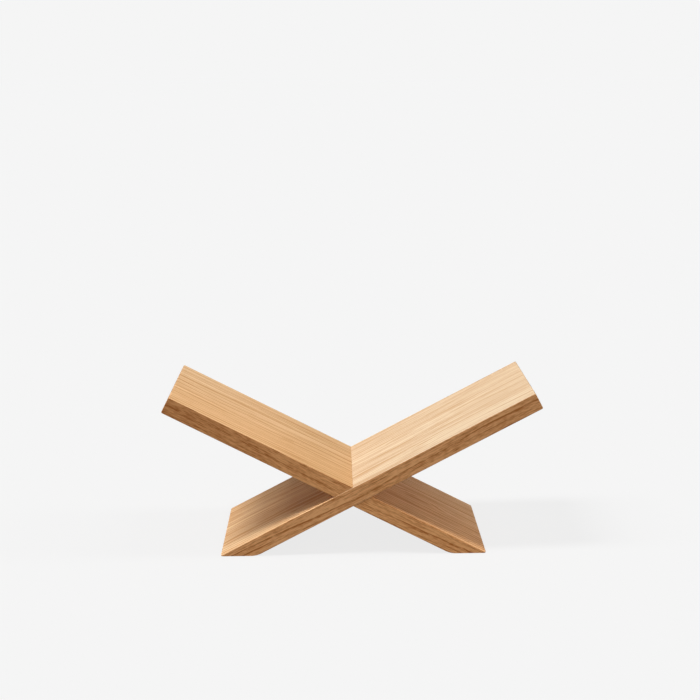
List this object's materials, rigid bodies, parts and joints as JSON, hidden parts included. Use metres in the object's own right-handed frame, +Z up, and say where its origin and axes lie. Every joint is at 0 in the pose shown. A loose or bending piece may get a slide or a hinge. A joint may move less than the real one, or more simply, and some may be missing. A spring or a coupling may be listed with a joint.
{
  "type": "book stand",
  "caption": "Low X-shaped book stand of slotted solid oak boards in a bevelled cross lap; the upper arms hold an open book in a wide V and the lower ends are cut level as feet.",
  "frame": {"origin": "on the floor, under the middle of the lap: centred left to right and front to back", "axes": "+X to the right along the open V, +Y from the front edges to the back edges, +Z up"},
  "size_m": [0.354, 0.15, 0.1539],
  "materials": {
    "oak": "matte oiled, sanded smooth"
  },
  "bodies": {
    "left_foot_board": {"left_foot_board": "oak"},
    "right_foot_board": {"right_foot_board": "oak"}
  },
  "joints": [
    {"name": "lap_slide", "type": "slide", "parent": "left_foot_board", "child": "right_foot_board", "axis": [0, 1, 0], "range_m": [0, 0.155]}
  ]
}
